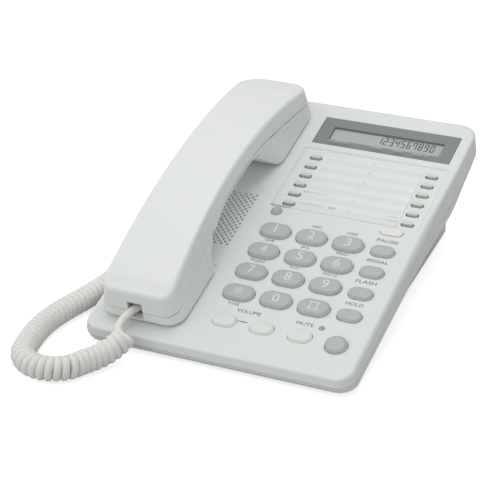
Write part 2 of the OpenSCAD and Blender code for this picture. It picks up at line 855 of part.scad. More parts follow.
// ---- Cord ----
// Catmull-Rom curve through a list of points
function spline_point(a, b, c, d, t) = 0.5 * (
    2 * b + (c - a) * t + (2 * a - 5 * b + 4 * c - d) * t * t + (3 * b - a - 3 * c + d) * t * t * t
);
function spline(p, steps) = let (n = len(p)) concat(
    [for (i = [0:n - 2], j = [0:steps - 1])
        spline_point(
            i > 0 ? p[i - 1] : 2 * p[0] - p[1], p[i], p[i + 1],
            i < n - 2 ? p[i + 2] : 2 * p[n - 1] - p[n - 2], j / steps
        )],
    [p[n - 1]]
);
// Running length along a list of points
function lengths(p, i = 1, sum = [0]) = i == len(p) ? sum
    : lengths(p, i + 1, concat(sum, [sum[i - 1] + norm(p[i] - p[i - 1])]));
function along(keys, p, s) = [for (axis = [0:2]) lookup(s, [for (i = [0:len(p) - 1]) [keys[i], p[i][axis]]])];
function unit(v) = v / norm(v);
function tangent(p, i) = unit(p[min(i + 1, len(p) - 1)] - p[max(i - 1, 0)]);

// One direction square to the path for each ring, carried along without twisting
function carried(dirs, i = 0, from = [0, 0, 1], out = []) = i == len(dirs) ? out
    : let (here = unit(from - (from * dirs[i]) * dirs[i])) carried(dirs, i + 1, here, concat(out, [here]));

// A tube along points, whose ends are square to the directions given
module tube(p, d, sides, start, end) {
    n = len(p);
    dirs = [for (i = [0:n - 1]) i == 0 ? start : i == n - 1 ? end : tangent(p, i)];
    refs = carried(dirs);
    rings = [for (i = [0:n - 1], k = [0:sides - 1]) let (a = 360 * k / sides)
        p[i] + d / 2 * (cos(a) * refs[i] + sin(a) * cross(dirs[i], refs[i]))];
    quads = [for (i = [0:n - 2], k = [0:sides - 1]) let (m = (k + 1) % sides)
        [i * sides + k, i * sides + m, (i + 1) * sides + m, (i + 1) * sides + k]];
    polyhedron(rings, concat(
        [for (q = quads) [q[0], q[2], q[1]]], [for (q = quads) [q[0], q[3], q[2]]],
        [for (k = [1:sides - 2]) [0, k, k + 1]],
        [for (k = [1:sides - 2]) [(n - 1) * sides, (n - 1) * sides + k + 1, (n - 1) * sides + k]]
    ));
}

coil_axis = spline(coil_route, smooth_steps);
coil_keys = lengths(coil_axis);
coil_l = coil_keys[len(coil_keys) - 1];
curl_pitch = coil_l / curls;
// The axis' direction, and a point and a direction of the wire, at a count of curls from the handset
function axis_dir(n) = let (s = n * curl_pitch)
    unit(along(coil_keys, coil_axis, min(s + 1, coil_l)) - along(coil_keys, coil_axis, max(s - 1, 0)));
function curl_point(n) =
    let (ahead = axis_dir(n), side = unit(cross(ahead, [0, 0, 1])), up = cross(side, ahead))
    along(coil_keys, coil_axis, n * curl_pitch) + coil_r * (cos(360 * n) * up - sin(360 * n) * side);
function curl_dir(n) = unit(
    axis_dir(n) * curl_pitch / (2 * PI) - coil_r * unit(cross(axis_dir(n), [0, 0, 1]))
);
coil_in = curl_point(0) - curl_dir(0) * wire_d;
coil_out = curl_point(curls) + curl_dir(curls) * wire_d;

module curly_cord() {
    turns = [for (i = [0:curls * curl_rings]) curl_point(i / curl_rings)];
    wire = concat([coil_in], turns, [coil_out]);
    n = len(wire);
    gap = min([for (i = [0:n - 6], j = [i + 5:n - 1]) norm(wire[i] - wire[j])]) - wire_d;
    echo(least_gap_of_the_curls = gap);
    echo(wire_length = lengths(wire)[n - 1]);
    color(cord_white) tube(wire, wire_d, wire_sides, curl_dir(0), curl_dir(curls));
}

handset_socket_out = on_table([handset_socket_x, handset_socket_y, handset_socket_z]);
handset_socket_dir = [0, -cos(tilt), -sin(tilt)];
module handset_tail() {
    route = concat(
        [handset_socket_out, handset_socket_out + handset_socket_dir * wire_d],
        handset_tail_route,
        [coil_in - curl_dir(0) * wire_d, coil_in]
    );
    color(cord_white) tube(route, wire_d, tail_sides, handset_socket_dir, curl_dir(0));
}

base_socket_out = on_table([base_socket_x, base_socket_y, base_socket_z]);
module base_tail() {
    route = concat(
        [coil_out, coil_out + curl_dir(curls) * wire_d],
        base_tail_route,
        [base_socket_out - [wire_d + 3, 0, 0], base_socket_out]
    );
    color(cord_white) tube(route, wire_d, tail_sides, curl_dir(curls), [1, 0, 0]);
}

upper_case();
lower_case();
desk_stand();
rubber_feet();
case_screws();
display_bezel();
lcd_panel();
memory_card();
card_cover();
indicator_lenses();
loudspeaker();
main_board();
keypad_membrane();
hook_plunger();
line_jack();
base_handset_jack();
for (i = [0:11]) button(dial_at(i), dial_size, key_rise, key_grey);
for (i = [0:3]) button(function_at(i), function_size, function_rise, key_grey);
for (i = [0:2]) button(volume_at(i), volume_size, volume_rise, case_white);
round_button(speaker_button_at, speaker_button_d, speaker_rise, stem_bottom, stem_d, key_grey);  // speaker_button
round_button(program_at, program_d, program_rise, stem_bottom, small_stem_d, key_grey);  // program_button
for (i = [0:11]) button(memory_at(i), memory_size, memory_rise, [0.74, 0.75, 0.73], small = true);
handset_outer_shell();
handset_inner_shell();
handset_receiver();
handset_microphone();
handset_ballast();
handset_jack();
handset_plug();
base_plug();
curly_cord();
handset_tail();
base_tail();
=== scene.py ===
import bmesh
import bpy
import json
import math
from mathutils import Matrix, Vector


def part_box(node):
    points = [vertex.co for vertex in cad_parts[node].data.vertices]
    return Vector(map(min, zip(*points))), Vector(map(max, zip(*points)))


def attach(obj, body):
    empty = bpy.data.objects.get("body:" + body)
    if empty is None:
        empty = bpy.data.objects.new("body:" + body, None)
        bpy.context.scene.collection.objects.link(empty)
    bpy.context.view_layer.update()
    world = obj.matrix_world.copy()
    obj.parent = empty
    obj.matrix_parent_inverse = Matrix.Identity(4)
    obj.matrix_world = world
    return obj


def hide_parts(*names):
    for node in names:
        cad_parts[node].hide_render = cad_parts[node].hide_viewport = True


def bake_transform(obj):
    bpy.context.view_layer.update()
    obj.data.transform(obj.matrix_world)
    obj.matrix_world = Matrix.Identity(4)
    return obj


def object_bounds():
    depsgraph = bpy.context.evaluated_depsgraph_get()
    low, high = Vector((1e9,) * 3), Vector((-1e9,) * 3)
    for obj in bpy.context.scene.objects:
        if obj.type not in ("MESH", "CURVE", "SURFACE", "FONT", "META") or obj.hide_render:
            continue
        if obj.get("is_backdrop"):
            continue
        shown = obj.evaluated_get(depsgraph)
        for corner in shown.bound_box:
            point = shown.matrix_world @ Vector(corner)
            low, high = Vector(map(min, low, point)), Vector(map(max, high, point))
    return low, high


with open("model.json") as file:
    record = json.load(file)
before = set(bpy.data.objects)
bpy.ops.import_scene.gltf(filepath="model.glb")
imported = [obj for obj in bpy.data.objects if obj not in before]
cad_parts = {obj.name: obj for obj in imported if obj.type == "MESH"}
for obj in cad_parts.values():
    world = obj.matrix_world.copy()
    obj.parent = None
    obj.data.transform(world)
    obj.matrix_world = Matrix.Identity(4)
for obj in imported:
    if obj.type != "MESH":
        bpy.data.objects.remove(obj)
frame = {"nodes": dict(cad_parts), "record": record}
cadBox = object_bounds()
nodes = frame["nodes"]
bodyOf = {node: body for body, held in frame["record"]["behaviour"]["bodies"].items() for node in held}
slotOf = {part["node"]: part["material_slot"] for part in frame["record"]["subparts"]}
mm = 0.001
print("frame loaded:", len(nodes), "nodes")

# The sloping top face: x across, y up the face from its front edge, z out of it, in millimetres
face = {
    "tilt": 16.0,             # degrees above the table
    "frontToMiddle": 108.69,  # from the casing's front edge to the phone's middle, level with the table
    "height": 9.93,           # of the face's front edge line above the table
    "width": 160.0,
    "length": 224.0,
}
faceMatrix = (
    Matrix.Translation((0, -face["frontToMiddle"] * mm, face["height"] * mm))
    @ Matrix.Rotation(math.radians(face["tilt"]), 4, "X")
    @ Matrix.Scale(mm, 4)
)
faceInverse = faceMatrix.inverted()


def onFace(x, y, z=0.0):
    return faceMatrix @ Vector((x, y, z))


def middleOf(node):
    low, high = (Vector(corner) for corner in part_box(node))
    return faceInverse @ ((low + high) / 2)


camera = {"eye": (0.3134, -0.7708, 0.4326), "looksAt": (-0.0383, 0.0326, 0.0), "lens": 118.0,
          "sensor": 36.0, "clip": 0.05}
cameraData = bpy.data.cameras.new("camera")
cameraData.lens = camera["lens"]
cameraData.sensor_width = camera["sensor"]
cameraData.clip_start = camera["clip"]
cameraObject = bpy.data.objects.new("camera", cameraData)
cameraObject.location = camera["eye"]
towards = Vector(camera["looksAt"]) - Vector(camera["eye"])
cameraObject.rotation_euler = towards.to_track_quat("-Z", "Y").to_euler()
bpy.context.scene.collection.objects.link(cameraObject)
bpy.context.scene.camera = cameraObject
bpy.context.scene.view_settings.view_transform = "Standard"
print("camera placed")


# An sRGB hex colour as linear channels
def linear(hexColour):
    channels = [int(hexColour[i:i + 2], 16) / 255 for i in (1, 3, 5)]
    return [c / 12.92 if c <= 0.04045 else ((c + 0.055) / 1.055) ** 2.4 for c in channels] + [1.0]


def addNode(tree, kind, settings=None, links=None, **attributes):
    node = tree.nodes.new(kind)
    for name, value in attributes.items():
        setattr(node, name, value)
    for socket, value in (settings or {}).items():
        node.inputs[socket].default_value = value
    for socket, source in (links or {}).items():
        tree.links.new(source, node.inputs[socket])
    return node


def newMaterial(name):
    material = bpy.data.materials.new(name)
    material.use_nodes = True
    tree = material.node_tree
    shader = tree.nodes["Principled BSDF"]
    place = addNode(tree, "ShaderNodeTexCoord").outputs["Object"]
    return material, tree, shader, place


# Two close colours that drift into each other over patches of a real size in millimetres
def tinted(tree, shader, place, colour, other, patch, detail):
    drift = addNode(tree, "ShaderNodeTexNoise", {"Scale": 1 / (patch * mm), "Detail": detail},
                    {"Vector": place})
    tint = addNode(tree, "ShaderNodeMix", {"A": linear(colour), "B": linear(other)}, data_type="RGBA")
    tree.links.new(drift.outputs["Fac"], tint.inputs["Factor"])
    tree.links.new(tint.outputs["Result"], shader.inputs["Base Color"])


plastic = {"cloud": 38.0, "grain": 0.55, "relief": 0.04, "spread": 0.05, "ior": 1.5}
ink = {"speckle": 0.6, "roughness": 0.6}
metal = {"grain": 1.5, "spread": 0.1}
sheet = {"haze": 12.0, "least": 0.05, "most": 0.11, "roughness": 0.12}
glass = {"cloud": 45.0, "roughness": 0.22}


# Moulded ABS or polystyrene: an even satin skin, a trace of orange peel and a very faint cloudiness.
# The peel's grain is drawn coarser than the real one, so that it shows.
def mouldedPlastic(name, colour, cloud, roughness=0.42, grain=plastic["grain"], bump=0.12):
    material, tree, shader, place = newMaterial(name)
    tinted(tree, shader, place, colour, cloud, plastic["cloud"], 3.0)
    peel = addNode(tree, "ShaderNodeTexNoise", {"Scale": 1 / (grain * mm), "Detail": 2.0}, {"Vector": place})
    patches = addNode(
        tree, "ShaderNodeMapRange",
        {"To Min": roughness - plastic["spread"], "To Max": roughness + plastic["spread"]},
        {"Value": peel.outputs["Fac"]}
    )
    tree.links.new(patches.outputs["Result"], shader.inputs["Roughness"])
    relief = addNode(tree, "ShaderNodeBump", {"Strength": bump, "Distance": plastic["relief"] * mm},
                     {"Height": peel.outputs["Fac"]})
    tree.links.new(relief.outputs["Normal"], shader.inputs["Normal"])
    shader.inputs["IOR"].default_value = plastic["ior"]
    return material


# Screen-printed or pad-printed ink: thin, matt and even, with slightly ragged density
def printedInk(name, colour, worn):
    material, tree, shader, place = newMaterial(name)
    tinted(tree, shader, place, colour, worn, ink["speckle"], 1.0)
    shader.inputs["Roughness"].default_value = ink["roughness"]
    return material


# Plated, milled or drawn metal: a plain grey with a soft, slightly uneven sheen
def plainMetal(name, colour, roughness):
    material, tree, shader, place = newMaterial(name)
    grain = addNode(tree, "ShaderNodeTexNoise", {"Scale": 1 / (metal["grain"] * mm), "Detail": 4.0},
                    {"Vector": place})
    sheen = addNode(
        tree, "ShaderNodeMapRange",
        {"To Min": roughness - metal["spread"], "To Max": roughness + metal["spread"]},
        {"Value": grain.outputs["Fac"]}
    )
    tree.links.new(sheen.outputs["Result"], shader.inputs["Roughness"])
    shader.inputs["Base Color"].default_value = linear(colour)
    shader.inputs["Metallic"].default_value = 1.0
    return material


# Clear polyester sheet over the card: only a thin haze and its reflections show
def polyesterSheet(name, colour):
    material, tree, shader, place = newMaterial(name)
    haze = addNode(tree, "ShaderNodeTexNoise", {"Scale": 1 / (sheet["haze"] * mm), "Detail": 2.0},
                   {"Vector": place})
    hazeRange = addNode(tree, "ShaderNodeMapRange", {"To Min": sheet["least"], "To Max": sheet["most"]},
                        {"Value": haze.outputs["Fac"]})
    tree.links.new(hazeRange.outputs["Result"], shader.inputs["Alpha"])
    shader.inputs["Base Color"].default_value = linear(colour)
    shader.inputs["Roughness"].default_value = sheet["roughness"]
    return material


# Liquid crystal glass: a greenish grey, smooth, and very slightly uneven in brightness
def crystalGlass(name, colour, paler):
    material, tree, shader, place = newMaterial(name)
    tinted(tree, shader, place, colour, paler, glass["cloud"], 1.0)
    shader.inputs["Roughness"].default_value = glass["roughness"]
    return material


# Every kind of material in the record, made once
materials = {
    "case_plastic": mouldedPlastic("mouldedCaseAbs", "#E4E9E6", "#DFE4E1"),
    "handset_plastic": mouldedPlastic("mouldedHandsetAbs", "#ECEFEC", "#E8ECE8", roughness=0.36),
    "key_plastic": mouldedPlastic("mouldedKeyPlastic", "#B9C0BD", "#B3BAB7", roughness=0.48),
    "volume_plastic": mouldedPlastic("mouldedPaleKeyPlastic", "#E4E8E3", "#DFE3DE", roughness=0.45),
    "memory_plastic": mouldedPlastic("mouldedMemoryKeyPlastic", "#DADBD6", "#D5D6D1", roughness=0.45),
    "bezel_plastic": mouldedPlastic("paintedDisplayBezel", "#8A8C8B", "#848685", roughness=0.35),
    "lens_plastic": mouldedPlastic("milkyLensPlastic", "#EBECE6", "#E6E7E0", roughness=0.25),
    "jack_plastic": mouldedPlastic("mouldedJackNylon", "#3C3D40", "#343538", roughness=0.5),
    "plug_plastic": mouldedPlastic("clearPlugPolycarbonate", "#D5DADB", "#C9CFD0", roughness=0.15),
    "membrane_rubber": mouldedPlastic("mouldedSiliconeMembrane", "#C4C6CA", "#BEC0C4", roughness=0.7),
    "foot_rubber": mouldedPlastic("mouldedRubberFoot", "#55565A", "#4E4F53", roughness=0.8),
    "speaker_paper": mouldedPlastic("pressedConePaper", "#3A3A3D", "#303033", roughness=0.85, bump=0.4),
    "board_laminate": mouldedPlastic("glassEpoxyLaminate", "#3D7A50", "#35704A", roughness=0.4),
    "cord_jacket": mouldedPlastic("extrudedCordJacket", "#E9EAE6", "#E4E5E0", roughness=0.38, grain=0.9),
    "card_stock": mouldedPlastic("printedCardStock", "#ECEFF0", "#E8EBEC", roughness=0.6, grain=0.3),
    "screw_steel": plainMetal("platedScrewSteel", "#B9BABC", 0.35),
    "ballast_steel": plainMetal("milledBallastSteel", "#8E8F92", 0.45),
    "microphone_metal": plainMetal("drawnAluminiumCan", "#C9CACC", 0.3),
    "clear_plastic": polyesterSheet("clearPolyesterSheet", "#FFFFFF"),
    "display_panel": crystalGlass("liquidCrystalGlass", "#ADB6B3", "#BAC1C0"),
}
for node, piece in nodes.items():
    piece.data.materials.clear()
    piece.data.materials.append(materials[slotOf[node]])
print("materials made:", len(materials))


# An object from a bmesh, riding on its body and standing for the nodes that it replaces
def newPiece(name, bm, material, body, replaced=(), smoothAngle=32, flat=False):
    mesh = bpy.data.meshes.new(name)
    bm.to_mesh(mesh)
    bm.free()
    mesh.polygons.foreach_set("use_smooth", [True] * len(mesh.polygons))
    mesh.set_sharp_from_angle(angle=math.radians(smoothAngle))
    mesh.materials.append(material)
    piece = bpy.data.objects.new(name, mesh)
    if flat:
        piece.modifiers.new("evenFlats", "WEIGHTED_NORMAL").keep_sharp = True
    bpy.context.scene.collection.objects.link(piece)
    if body:
        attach(piece, body)
    for node in replaced:
        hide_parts(node)
    return piece


# The casing's outer form: walls that lean out below a rounded top edge, parted by the seam
shell = {
    "corner": 13.0,
    # in from the outline: where the flat top ends, radius of the top edge, at the seam, at the underside
    "side": (6.4, 2.8, 2.9, 2.7), "front": (4.6, 1.7, 1.9, 3.3), "rear": (4.0, 3.0, 2.6, 2.8),
    "sideRear": 0.62,                              # the side's share of that towards the rear
    "narrowsFrom": 125.0, "narrowsTo": 175.0,
    "seam": ((-5.0, -5.3), (166.0, -14.2)), "gap": 0.6,
    "underside": ((2.5, -9.8), (100.0, -13.8), (166.0, -20.5), (221.5, -11.2)),
    "behind": 0.3, "zone": 7.0,     # how far the solid's own walls stand behind the skin, and start to
    "proud": 0.012, "strip": 7.2,   # the skin's strip on the flat top: its height, its inner edge
    "stripDown": 0.5, "stripIn": 0.1,               # that strip's turned-down inner edge
    "lip": 0.3, "edgeFrom": 12.0, "edgeSteps": 6,   # broken edge at the seam; the top edge's arc
    "upperWall": 1.8, "lowerWall": 2.0, "footWall": 2.4,
    "upperLeast": 0.1, "lowerLeast": 0.05,          # both edges stay this far above the underside
    "below": 0.02,                                  # the lower skin's foot below the underside
    # the foot's rim: up by this much, at most this share of the wall's height, and in from the wall
    "footRim": ((0.0, 0.0, 0.9), (0.25, 0.2, 0.25), (0.9, 0.4, 0.0)), "lipShare": 0.2,
}


# A value read from a table of (place, value), straight between its entries
def along(table, at):
    for (a, low), (b, high) in zip(table, table[1:]):
        if at <= b:
            return low + (high - low) * (max(at, a) - a) / (b - a)
    return table[-1][1]


def between(value, low, high):
    return min(max(value, low), high)


# The wall's four measures at a place on the outline with the outward normal nx, ny
def wallAt(y, nx, ny):
    t = between((y - shell["narrowsFrom"]) / (shell["narrowsTo"] - shell["narrowsFrom"]), 0, 1)
    side = [value * (1 + (shell["sideRear"] - 1) * t) for value in shell["side"]]
    return [a * nx * nx + b * ny * ny for a, b in zip(side, shell["front"] if ny < 0 else shell["rear"])]


# How far in from the outline the wall's outside stands at the height z
def insetAt(y, nx, ny, z):
    flat, radius, atSeam, atFoot = wallAt(y, nx, ny)
    seamZ, footZ = along(shell["seam"], y), along(shell["underside"], y)
    if z > -radius:
        return flat - math.sqrt(max(radius ** 2 - (radius + min(z, 0)) ** 2, 0))
    if z > seamZ:
        return atSeam + (flat - radius - atSeam) * (z - seamZ) / (-radius - seamZ)
    return atSeam + (atFoot - atSeam) * min((seamZ - z) / max(seamZ - footZ, 0.5), 1)


# Distance in from the outline, and the outward normal there
def outlineAt(x, y):
    half, middle, corner = face["width"] / 2, face["length"] / 2, shell["corner"]
    across, length = abs(x) - half + corner, abs(y - middle) - middle + corner
    sx, sy = math.copysign(1, x), math.copysign(1, y - middle)
    if across > 0 and length > 0:
        reach = math.hypot(across, length)
        return corner - reach, sx * across / reach, sy * length / reach
    return (corner - across, sx, 0) if across > length else (corner - length, 0, sy)


# The copy's outer walls are drawn in behind the skin that shows
def drawnIn(bm):
    for vertex in bm.verts:
        at = faceInverse @ vertex.co
        depth, nx, ny = outlineAt(at.x, at.y)
        if depth < shell["zone"]:
            pull = (insetAt(at.y, nx, ny, at.z) + shell["behind"]) * (1 - max(depth, 0) / shell["zone"])
            vertex.co = onFace(at.x - nx * pull, at.y - ny * pull, at.z)


# A merged copy of a node's mesh, without the edges that lie in a flat face
def merged(node):
    bm = bmesh.new()
    bm.from_mesh(nodes[node].data)
    bmesh.ops.remove_doubles(bm, verts=bm.verts, dist=0.002 * mm)
    if node in ("upper_case", "lower_case"):
        drawnIn(bm)
    bmesh.ops.dissolve_limit(bm, angle_limit=math.radians(0.2), verts=bm.verts, edges=bm.edges)
    return bm


def isSharp(edge, angle):
    return len(edge.link_faces) == 2 and edge.calc_face_angle(0) > math.radians(angle)


def bevelled(bm, edges, width, segments, clamp=False):
    bmesh.ops.bevel(bm, geom=edges, offset=width, offset_type="OFFSET", segments=segments,
                    profile=0.5, affect="EDGES", clamp_overlap=clamp, material=-1)


# The node's own shape with its moulded edges broken
def softened(node, width):
    bm = merged(node)
    bevelled(bm, [edge for edge in bm.edges if isSharp(edge, 40)], width * mm, 2)
    return newPiece(node + "Moulded", bm, materials[slotOf[node]], bodyOf[node], (node,), flat=True)


# Cord: from the handset's socket, through the curls on the table, to the base's left side
cord = {
    "diameter": 4.5,
    "curlAcross": 13.4,
    "curls": 67,
    "stepsPerCurl": 20,
    "fanning": 0.1,              # how much of the crowding inside a bend the curls give way to
    "bendOver": 5, "sharpest": 0.07, "leastRoom": 0.3,   # route points on each side; limits of both
    "aheadOver": 0.3,            # the curls' direction is taken over this many turns before and after
    "sides": 10, "smoothSteps": 6, "routeSteps": 8,
    "coilRoute": [
        (-46, -113, 14), (-47.8, -117.5, 11.4), (-50.8, -122, 8.9), (-54.8, -127.5, 7.3),
        (-59.3, -134.2, 6.9), (-63.2, -141.6, 6.9), (-70.1, -146.5, 6.9), (-78.4, -147.7, 6.9),
        (-86.3, -145.1, 6.9), (-92.2, -139.1, 6.9), (-94.7, -131.7, 6.9), (-96.6, -122.5, 6.9),
        (-98, -112, 6.9), (-98, -101, 6.9), (-96.4, -89, 6.9), (-93.6, -77, 6.9), (-90.8, -64.5, 6.9),
        (-88.8, -51, 6.9), (-88, -36, 6.9), (-88, -19, 6.9), (-88, -1, 6.9), (-88, 17, 6.9), (-88, 34, 6.9),
    ],
    "handsetTail": [(-49.2, -98, 21.2), (-50.8, -102, 19.4), (-51.8, -106, 17.4), (-51.0, -110.2, 16.2),
                    (-47.6, -114.6, 15.6)],
    "joinsAfter": 5,             # steps of the first curl that the tail takes the place of
    "baseTail": [(-96, 36, 13.5), (-99.5, 40, 18), (-100.5, 45, 26), (-99, 50, 35), (-95, 53.5, 42),
                 (-89.5, 55, 45.5)],
    "handsetSocket": (-47.5, 17.9, 7.0),   # both sockets are on the face
    "baseSocket": (-75.3, 168.0, -10.0),
    "leadOut": 3.0, "plugLead": 6.0,       # straight lengths after the last curl and before the base
    "blendFrom": (-50.0, -110.0, 14.0), "blendTo": (-86.0, -110.0, 14.0),
}


# A smooth curve through the points, in equal steps between each two
def smoothRoute(points, steps):
    points = [Vector(p) for p in points]
    ends = [2 * points[0] - points[1]] + points + [2 * points[-1] - points[-2]]
    out = []
    for i in range(len(points) - 1):
        a, b, c, d = ends[i:i + 4]
        for j in range(steps):
            t = j / steps
            out.append(0.5 * (2 * b + (c - a) * t + (2 * a - 5 * b + 4 * c - d) * t * t
                              + (3 * b - a - 3 * c + d) * t ** 3))
    return out + [points[-1]]


def pointAlong(points, sums, s):
    s = between(s, 0, sums[-1])
    i = max(1, next((k for k, total in enumerate(sums) if total >= s), len(sums) - 1))
    t = (s - sums[i - 1]) / (sums[i] - sums[i - 1])
    return points[i - 1].lerp(points[i], t)


# The curls as points round a smooth axis, with the axis's running length measured in turns
def curlPath():
    axis = smoothRoute(cord["coilRoute"], cord["routeSteps"])
    radius = (cord["curlAcross"] - cord["diameter"]) / 2
    # each curl takes up more of the route on a bend, where the inner sides crowd
    room = []
    for i in range(1, len(axis)):
        near, far = axis[max(i - cord["bendOver"], 0)], axis[min(i + cord["bendOver"], len(axis) - 1)]
        sag = (axis[i] - (near + far) / 2).length
        bend = min(8 * sag / (far - near).length ** 2, cord["sharpest"])
        give = max(1 - radius * bend * cord["fanning"], cord["leastRoom"])
        room.append((axis[i] - axis[i - 1]).length * give)
    turns = [0.0]
    for step in room:
        turns.append(turns[-1] + step * cord["curls"] / sum(room))
    out = []
    for i in range(cord["curls"] * cord["stepsPerCurl"] + 1):
        t = i / cord["stepsPerCurl"]
        over = cord["aheadOver"]
        ahead = (pointAlong(axis, turns, t + over) - pointAlong(axis, turns, t - over)).normalized()
        side = ahead.cross(Vector((0, 0, 1))).normalized()
        up = side.cross(ahead)
        turn = 2 * math.pi * t
        out.append(pointAlong(axis, turns, t) + radius * (math.cos(turn) * up - math.sin(turn) * side))
    return out[cord["joinsAfter"]:]


# A round tube swept along points by extruding one ring after another
def tubeAlong(points, diameter, sides):
    bm = bmesh.new()
    ahead = (points[1] - points[0]).normalized()
    first = bmesh.ops.create_circle(
        bm, cap_ends=True, segments=sides, radius=diameter / 2 * mm,
        matrix=Matrix.Translation(points[0] * mm) @ ahead.to_track_quat("Z", "Y").to_matrix().to_4x4()
    )
    cap = first["verts"][0].link_faces[0]
    for i in range(1, len(points)):
        following = (points[min(i + 1, len(points) - 1)] - points[i - 1]).normalized()
        new = bmesh.ops.extrude_face_region(bm, geom=[cap])
        moved = [item for item in new["geom"] if isinstance(item, bmesh.types.BMVert)]
        if i > 1:
            bmesh.ops.delete(bm, geom=[cap], context="FACES_ONLY")
        cap = next(item for item in new["geom"] if isinstance(item, bmesh.types.BMFace))
        turn = ahead.rotation_difference(following).to_matrix().to_4x4()
        bmesh.ops.transform(
            bm, verts=moved,
            matrix=Matrix.Translation(points[i] * mm) @ turn @ Matrix.Translation(-points[i - 1] * mm)
        )
        ahead = following
    bmesh.ops.recalc_face_normals(bm, faces=bm.faces)
    return bm


coil = curlPath()
socketMouth = onFace(*cord["handsetSocket"]) / mm
baseMouth = onFace(*cord["baseSocket"]) / mm
out = (coil[-1] - coil[-2]).normalized()
tailIn = smoothRoute([socketMouth, *cord["handsetTail"], coil[0]], cord["smoothSteps"])
tailOut = smoothRoute([coil[-1], coil[-1] + out * cord["leadOut"], *cord["baseTail"],
                       baseMouth - Vector((cord["plugLead"], 0, 0)), baseMouth], cord["smoothSteps"])
cordPath = tailIn[:-1] + coil + tailOut[1:]
curlyCord = newPiece("curlyCord", tubeAlong(cordPath, cord["diameter"], cord["sides"]),
                     materials["cord_jacket"], None, ("curly_cord", "handset_tail", "base_tail"), 80)
# the cord leaves the handset sideways, so this short stretch takes up all of the lift
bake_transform(curlyCord)

# Casing: the nodes' own shapes with their moulded edges broken
casing = {
    "edges": {"upper_case": 0.25, "lower_case": 0.3, "desk_stand": 0.4, "rubber_feet": 0.4,
              "display_bezel": 0.3, "hook_plunger": 0.4, "line_jack": 0.2, "base_handset_jack": 0.2},
    "fieldEdge": {"x": 28.4, "y": 150.75, "width": 88.0, "length": 56.0, "corner": 1.5,
                  "slope": 0.7, "floor": -0.77, "over": 0.1, "top": 0.01, "bottom": -1.2},
    # openings for both jacks: size and middle on the face
    "ports": [((20.0, 8.6, 7.4), (-80.0, 168.0, -10.0)), ((9.9, 20.0, 6.3), (36.0, 224.0, -6.2))],
}
for node, width in casing["edges"].items():
    softened(node, width)
print("casing softened")


# The second bmesh goes into the first one
def join(bm, part):
    mesh = bpy.data.meshes.new("part")
    part.to_mesh(mesh)
    part.free()
    bm.from_mesh(mesh)
    bpy.data.meshes.remove(mesh)


# A skew that moves x by lean times y, for slanted outlines and letters
def leant(lean):
    skew = Matrix.Identity(4)
    skew[0][1] = lean
    return skew


# A closed block on the face, its upright edges and its top rim rounded or pointed
def addBlock(bm, size, centre, corner=0.0, segments=1, rim=0.0, lean=0.0, turn=0.0):
    part = bmesh.new()
    bmesh.ops.create_cube(part, size=1.0, matrix=Matrix.Diagonal((*size, 1)))
    if corner:
        upright = [e for e in part.edges if abs(e.verts[0].co.z - e.verts[1].co.z) > size[2] / 2]
        bevelled(part, upright, corner, segments, clamp=True)
    if rim:
        top = [e for e in part.edges if min(v.co.z for v in e.verts) > size[2] / 2 - 1e-6]
        bevelled(part, top, rim, 3, clamp=True)
    turned = Matrix.Rotation(math.radians(turn), 4, "Z")
    part.transform(faceMatrix @ Matrix.Translation(centre) @ leant(lean) @ turned)
    join(bm, part)


# A closed skin over rings of points; each ring runs from front to rear and back along its mirror.
# A hollow skin closes its last ring onto its first, any other one gets a cap at both ends.
def skinOver(rings, hollow=False):
    bm = bmesh.new()
    rows = [[bm.verts.new(point) for point in points] for points in rings]
    pairs = list(zip(rows, rows[1:])) + ([(rows[-1], rows[0])] if hollow else [])
    for low, high in pairs:
        for i in range(len(low)):
            k = (i + 1) % len(low)
            bm.faces.new((low[i], low[k], high[k], high[i]))
    for row in [] if hollow else [rows[0], rows[-1]]:
        for k in range(len(row) // 2 - 1):
            bm.faces.new((row[k], row[k + 1], row[-2 - k], row[-1 - k]))
    bmesh.ops.recalc_face_normals(bm, faces=bm.faces)
    return bm


# The right half of a rounded rectangle as (x, y, outward normal), from its front end to its rear end
def halfOutline(half, front, rear, frontRadius, rearRadius, step=4.0, arcSteps=8):
    points = []
    for i in range(arcSteps + 1):
        a = math.radians(-90 + 90 * i / arcSteps)
        points.append((half - frontRadius + frontRadius * math.cos(a),
                       front + frontRadius * (1 + math.sin(a)), math.cos(a), math.sin(a)))
    start, end = front + frontRadius, rear - rearRadius
    count = max(1, round((end - start) / step))
    points += [(half, start + (end - start) * i / count, 1, 0) for i in range(1, count)]
    for i in range(arcSteps + 1):
        a = math.radians(90 * i / arcSteps)
        points.append((half - rearRadius + rearRadius * math.cos(a),
                       rear - rearRadius * (1 - math.sin(a)), math.cos(a), math.sin(a)))
    return points


def mirroredRing(right, middle):
    return [(middle + x, y, z) for x, y, z in right] + [(middle - x, y, z) for x, y, z in reversed(right)]


# Rings round an outline; levelsAt gives every level's height and inset at a place on it
def ringsRound(outline, levelsAt, middle):
    walls = [levelsAt(y, nx, ny) for x, y, nx, ny in outline]
    rings = []
    for level in range(len(walls[0])):
        right = []
        for (x, y, nx, ny), wall in zip(outline, walls):
            z, inset = wall[level]
            right.append((x - nx * inset, y - ny * inset, z))
        rings.append(mirroredRing(right, middle))
    return rings


